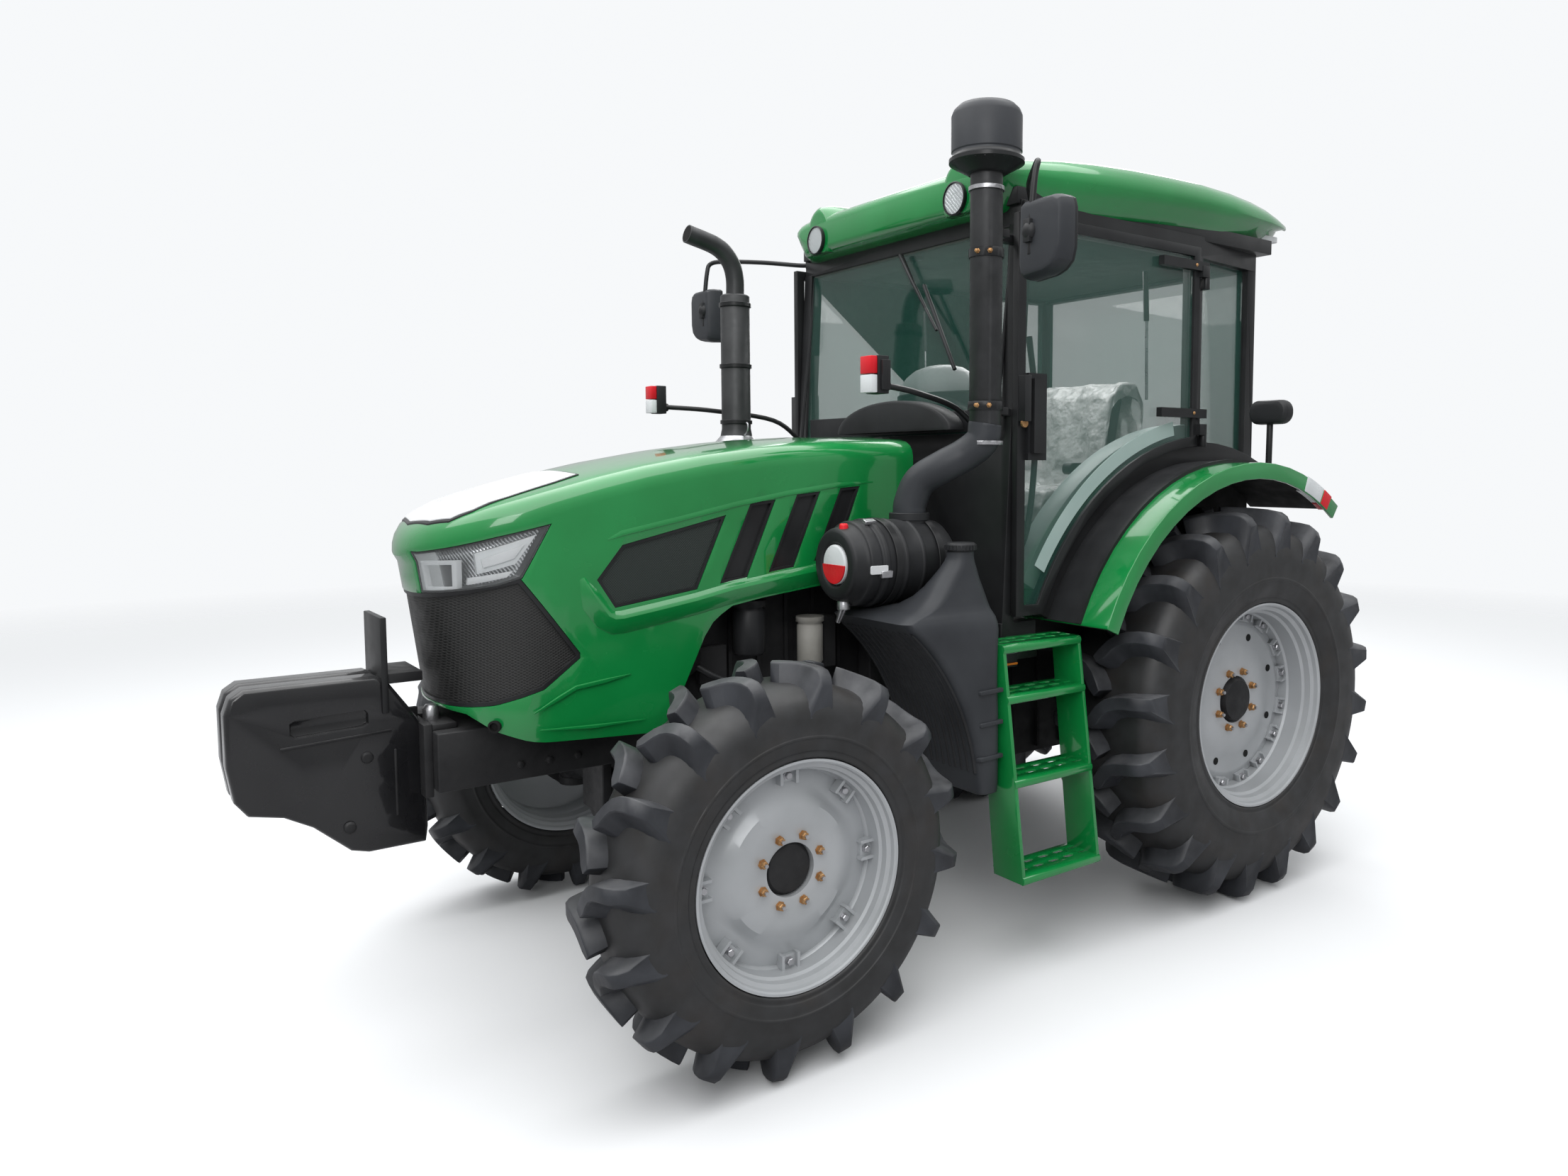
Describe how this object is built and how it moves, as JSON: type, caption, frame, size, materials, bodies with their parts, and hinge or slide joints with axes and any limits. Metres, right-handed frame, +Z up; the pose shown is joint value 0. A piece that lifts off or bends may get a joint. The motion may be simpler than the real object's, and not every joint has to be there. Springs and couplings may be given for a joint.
{
  "type": "farm tractor",
  "caption": "Four-wheel-drive farm tractor with a glazed cab, hood, steered front wheels, steps, air intake and exhaust stacks, front ballast and rear hitch.",
  "frame": {"origin": "on the ground, under the middle of the tractor's outer box", "axes": "+Z up, -Y towards the nose, +X towards the tractor's left"},
  "size_m": [2.418, 4.449, 2.925],
  "materials": {
    "green_paint": "gloss dark green paint with a slight metallic sheen",
    "black_plastic": "black moulded plastic, satin",
    "chassis_black": "black painted castings, satin with light dust",
    "cab_black": "black painted steel sections with rubber seals",
    "rim_silver": "silver-grey painted steel, satin",
    "tyre_rubber": "black rubber, deep lugs, dry mud in the tread",
    "glass": "pale green tinted safety glass",
    "lamp_lens": "clear lamp lens over a bright reflector",
    "exhaust_steel": "heat-proof matt black paint",
    "seat_cloth": "dark upholstery under a clear film cover"
  },
  "bodies": {
    "root": {"front_axle": "chassis_black", "front_frame": "chassis_black", "engine_block": "chassis_black", "gearbox_housing": "chassis_black", "weight_carrier": "chassis_black", "ballast_weight_left": "chassis_black", "ballast_weight_right": "chassis_black", "lower_link_left": "chassis_black", "lower_link_right": "chassis_black", "top_link": "chassis_black", "drawbar": "chassis_black", "fender_left": "green_paint", "fender_right": "green_paint", "cab_roof": "green_paint", "steps_left": "green_paint", "steps_right": "green_paint", "air_cleaner": "black_plastic", "intake_stack": "black_plastic", "pre_cleaner": "black_plastic", "fuel_tank_left": "black_plastic", "fuel_tank_right": "black_plastic", "steering_console": "black_plastic", "steering_wheel": "black_plastic", "mirror_left": "black_plastic", "mirror_right": "black_plastic", "marker_lamp_left": "black_plastic", "marker_lamp_right": "black_plastic", "rear_lamp_left": "black_plastic", "rear_lamp_right": "black_plastic", "cab_frame": "cab_black", "windshield": "glass", "quarter_glass_left": "glass", "quarter_glass_right": "glass", "rear_window": "glass", "work_light_left": "lamp_lens", "work_light_right": "lamp_lens", "exhaust_stack": "exhaust_steel", "driver_seat": "seat_cloth"},
    "knuckle_left": {"knuckle_left": "chassis_black"},
    "knuckle_right": {"knuckle_right": "chassis_black"},
    "track_rod": {"track_rod": "chassis_black"},
    "wheel_front_left": {"tyre_front_left": "tyre_rubber", "rim_front_left": "rim_silver"},
    "wheel_front_right": {"tyre_front_right": "tyre_rubber", "rim_front_right": "rim_silver"},
    "wheel_rear_left": {"tyre_rear_left": "tyre_rubber", "rim_rear_left": "rim_silver"},
    "wheel_rear_right": {"tyre_rear_right": "tyre_rubber", "rim_rear_right": "rim_silver"},
    "hood": {"hood_shell": "green_paint", "grille": "black_plastic", "headlight_left": "lamp_lens", "headlight_right": "lamp_lens"},
    "door_left": {"door_frame_left": "cab_black", "door_glass_left": "glass"},
    "door_right": {"door_frame_right": "cab_black", "door_glass_right": "glass"}
  },
  "joints": [
    {"name": "steer_left", "type": "hinge", "parent": "root", "child": "knuckle_left", "pos_m": [0.69, -0.9605, 0.585], "axis": [0, 0, 1], "range_deg": [-35, 35]},
    {"name": "steer_right", "type": "hinge", "parent": "root", "child": "knuckle_right", "pos_m": [-0.69, -0.9605, 0.585], "axis": [0, 0, 1], "range_deg": [-35, 35]},
    {"name": "track_rod_pivot", "type": "hinge", "parent": "knuckle_left", "child": "track_rod", "pos_m": [0.69, -0.7405, 0.51], "axis": [0, 0, 1], "range_deg": [-35, 35]},
    {"name": "front_wheel_left_spin", "type": "hinge", "parent": "knuckle_left", "child": "wheel_front_left", "pos_m": [0.873, -0.9605, 0.585], "axis": [1, 0, 0], "continuous": true},
    {"name": "front_wheel_right_spin", "type": "hinge", "parent": "knuckle_right", "child": "wheel_front_right", "pos_m": [-0.873, -0.9605, 0.585], "axis": [1, 0, 0], "continuous": true},
    {"name": "rear_wheel_left_spin", "type": "hinge", "parent": "root", "child": "wheel_rear_left", "pos_m": [0.816, 1.1955, 0.78], "axis": [1, 0, 0], "continuous": true},
    {"name": "rear_wheel_right_spin", "type": "hinge", "parent": "root", "child": "wheel_rear_right", "pos_m": [-0.816, 1.1955, 0.78], "axis": [1, 0, 0], "continuous": true},
    {"name": "hood_lift", "type": "hinge", "parent": "root", "child": "hood", "pos_m": [0, -0.0945, 1.735], "axis": [-1, 0, 0], "range_deg": [0, 50]},
    {"name": "door_left_swing", "type": "hinge", "parent": "root", "child": "door_left", "pos_m": [0.737, 1.1505, 2.1], "axis": [0, 0, 1], "range_deg": [0, 75]},
    {"name": "door_right_swing", "type": "hinge", "parent": "root", "child": "door_right", "pos_m": [-0.737, 1.1505, 2.1], "axis": [0, 0, -1], "range_deg": [0, 75]}
  ],
  "couplings": [
    {"joint": "steer_right", "follows": "steer_left", "ratio": 1},
    {"joint": "track_rod_pivot", "follows": "steer_left", "ratio": -1}
  ]
}
